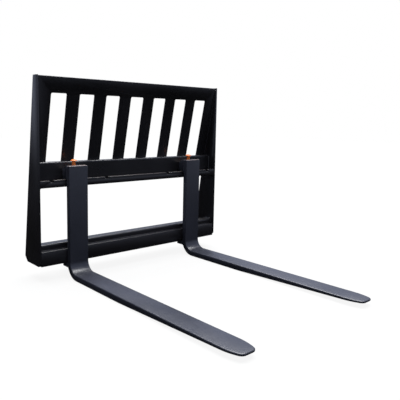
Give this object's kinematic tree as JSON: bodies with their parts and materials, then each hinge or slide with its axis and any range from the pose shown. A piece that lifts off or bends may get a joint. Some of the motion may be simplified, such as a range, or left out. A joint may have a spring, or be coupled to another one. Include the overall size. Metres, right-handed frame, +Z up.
{
  "type": "pallet fork attachment",
  "caption": "Welded skid-steer frame with a slotted leaning headboard, fork rails and a rear coupler hook and lip, carrying L-shaped forks that slide along the rails and lock with sprung pins.",
  "frame": {"origin": "on the ground, in the middle of the whole footprint, with the forks at their rest spacing", "axes": "+Z up; -Y is the way the forks point, +Y is the loader's side; +X is to the right as seen from in front of the fork tips"},
  "size_m": [1.156, 1.2584, 0.961],
  "materials": {
    "frame_paint": "satin black paint",
    "fork_paint": "satin black paint, polished by wear on the blades",
    "pin_paint": "gloss orange paint",
    "zinc_plate": "bright zinc plate",
    "spring_steel": "oiled spring steel"
  },
  "bodies": {
    "frame": {"side_plate_left": "frame_paint", "side_plate_right": "frame_paint", "headboard": "frame_paint", "upper_cross_tube": "frame_paint", "upper_fork_rail": "frame_paint", "lower_cross_tube": "frame_paint", "lower_fork_rail": "frame_paint", "coupler_hook": "frame_paint", "coupler_lip": "frame_paint", "lip_gusset_left": "frame_paint", "lip_gusset_centre": "frame_paint", "lip_gusset_right": "frame_paint"},
    "fork_left": {"fork_bar_left": "fork_paint", "top_hook_left": "fork_paint", "bottom_hook_left": "fork_paint", "pin_bush_left": "zinc_plate", "lock_spring_left": "spring_steel"},
    "pin_left": {"lock_pin_left": "pin_paint", "pin_knob_left": "pin_paint", "pin_collar_left": "zinc_plate"},
    "fork_right": {"fork_bar_right": "fork_paint", "top_hook_right": "fork_paint", "bottom_hook_right": "fork_paint", "pin_bush_right": "zinc_plate", "lock_spring_right": "spring_steel"},
    "pin_right": {"lock_pin_right": "pin_paint", "pin_knob_right": "pin_paint", "pin_collar_right": "zinc_plate"}
  },
  "joints": [
    {"name": "fork_left_slide", "type": "slide", "parent": "frame", "child": "fork_left", "axis": [-1, 0, 0], "range_m": [-0.331, 0.132]},
    {"name": "lock_pin_left_pull", "type": "slide", "parent": "fork_left", "child": "pin_left", "axis": [0, 0, 1], "range_m": [0, 0.014], "stiffness_N_per_m": 1500, "springref_m": -0.02, "deforming": ["lock_spring_left"]},
    {"name": "fork_right_slide", "type": "slide", "parent": "frame", "child": "fork_right", "axis": [1, 0, 0], "range_m": [-0.313, 0.15]},
    {"name": "lock_pin_right_pull", "type": "slide", "parent": "fork_right", "child": "pin_right", "axis": [0, 0, 1], "range_m": [0, 0.014], "stiffness_N_per_m": 1500, "springref_m": -0.02, "deforming": ["lock_spring_right"]}
  ]
}
